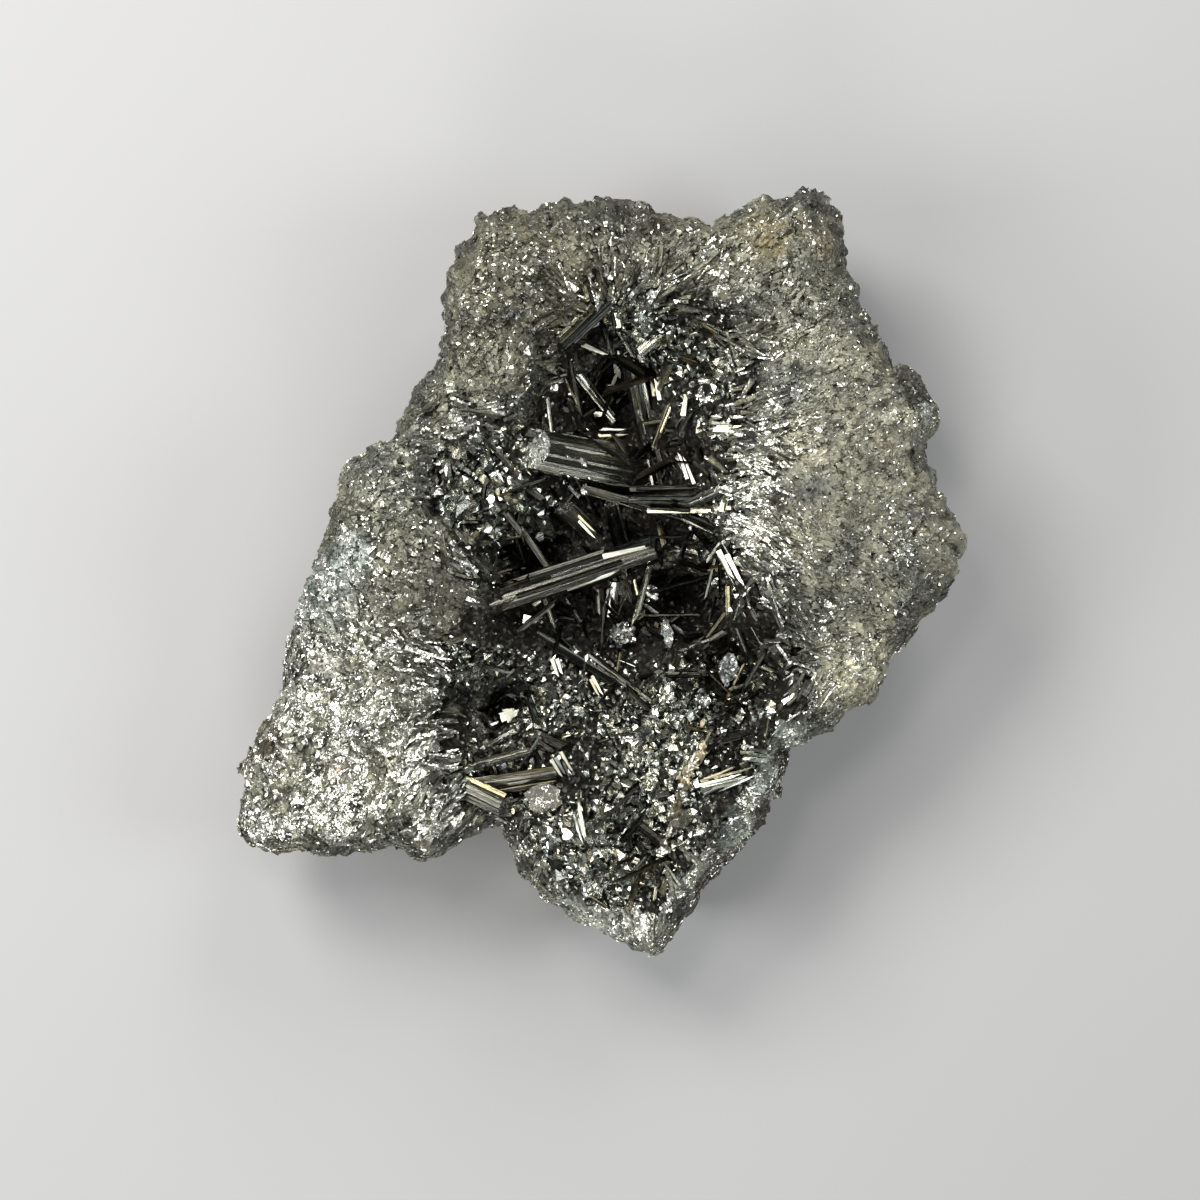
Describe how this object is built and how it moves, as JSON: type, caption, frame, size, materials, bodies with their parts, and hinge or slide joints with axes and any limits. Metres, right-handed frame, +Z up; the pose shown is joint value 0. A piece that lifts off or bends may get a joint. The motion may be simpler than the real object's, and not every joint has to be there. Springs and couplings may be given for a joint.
{
  "type": "mineral specimen",
  "caption": "Broken slab of dark, sparkling massive manganite lying on its back, with an open hollow lined with striated black prismatic crystals.",
  "frame": {"origin": "middle of the slab's outline, on the flat face that it lies on", "axes": "+Z up out of the hollow, +Y along the slab's longest way, towards its broad end"},
  "size_m": [0.0803, 0.0848, 0.0263],
  "materials": {
    "massive_manganite": "satin",
    "manganite_crystal": "gloss",
    "calcite": "gloss"
  },
  "bodies": {
    "root": {"slab": "massive_manganite", "crystal_crust": "manganite_crystal", "calcite_grain": "calcite"}
  },
  "joints": []
}
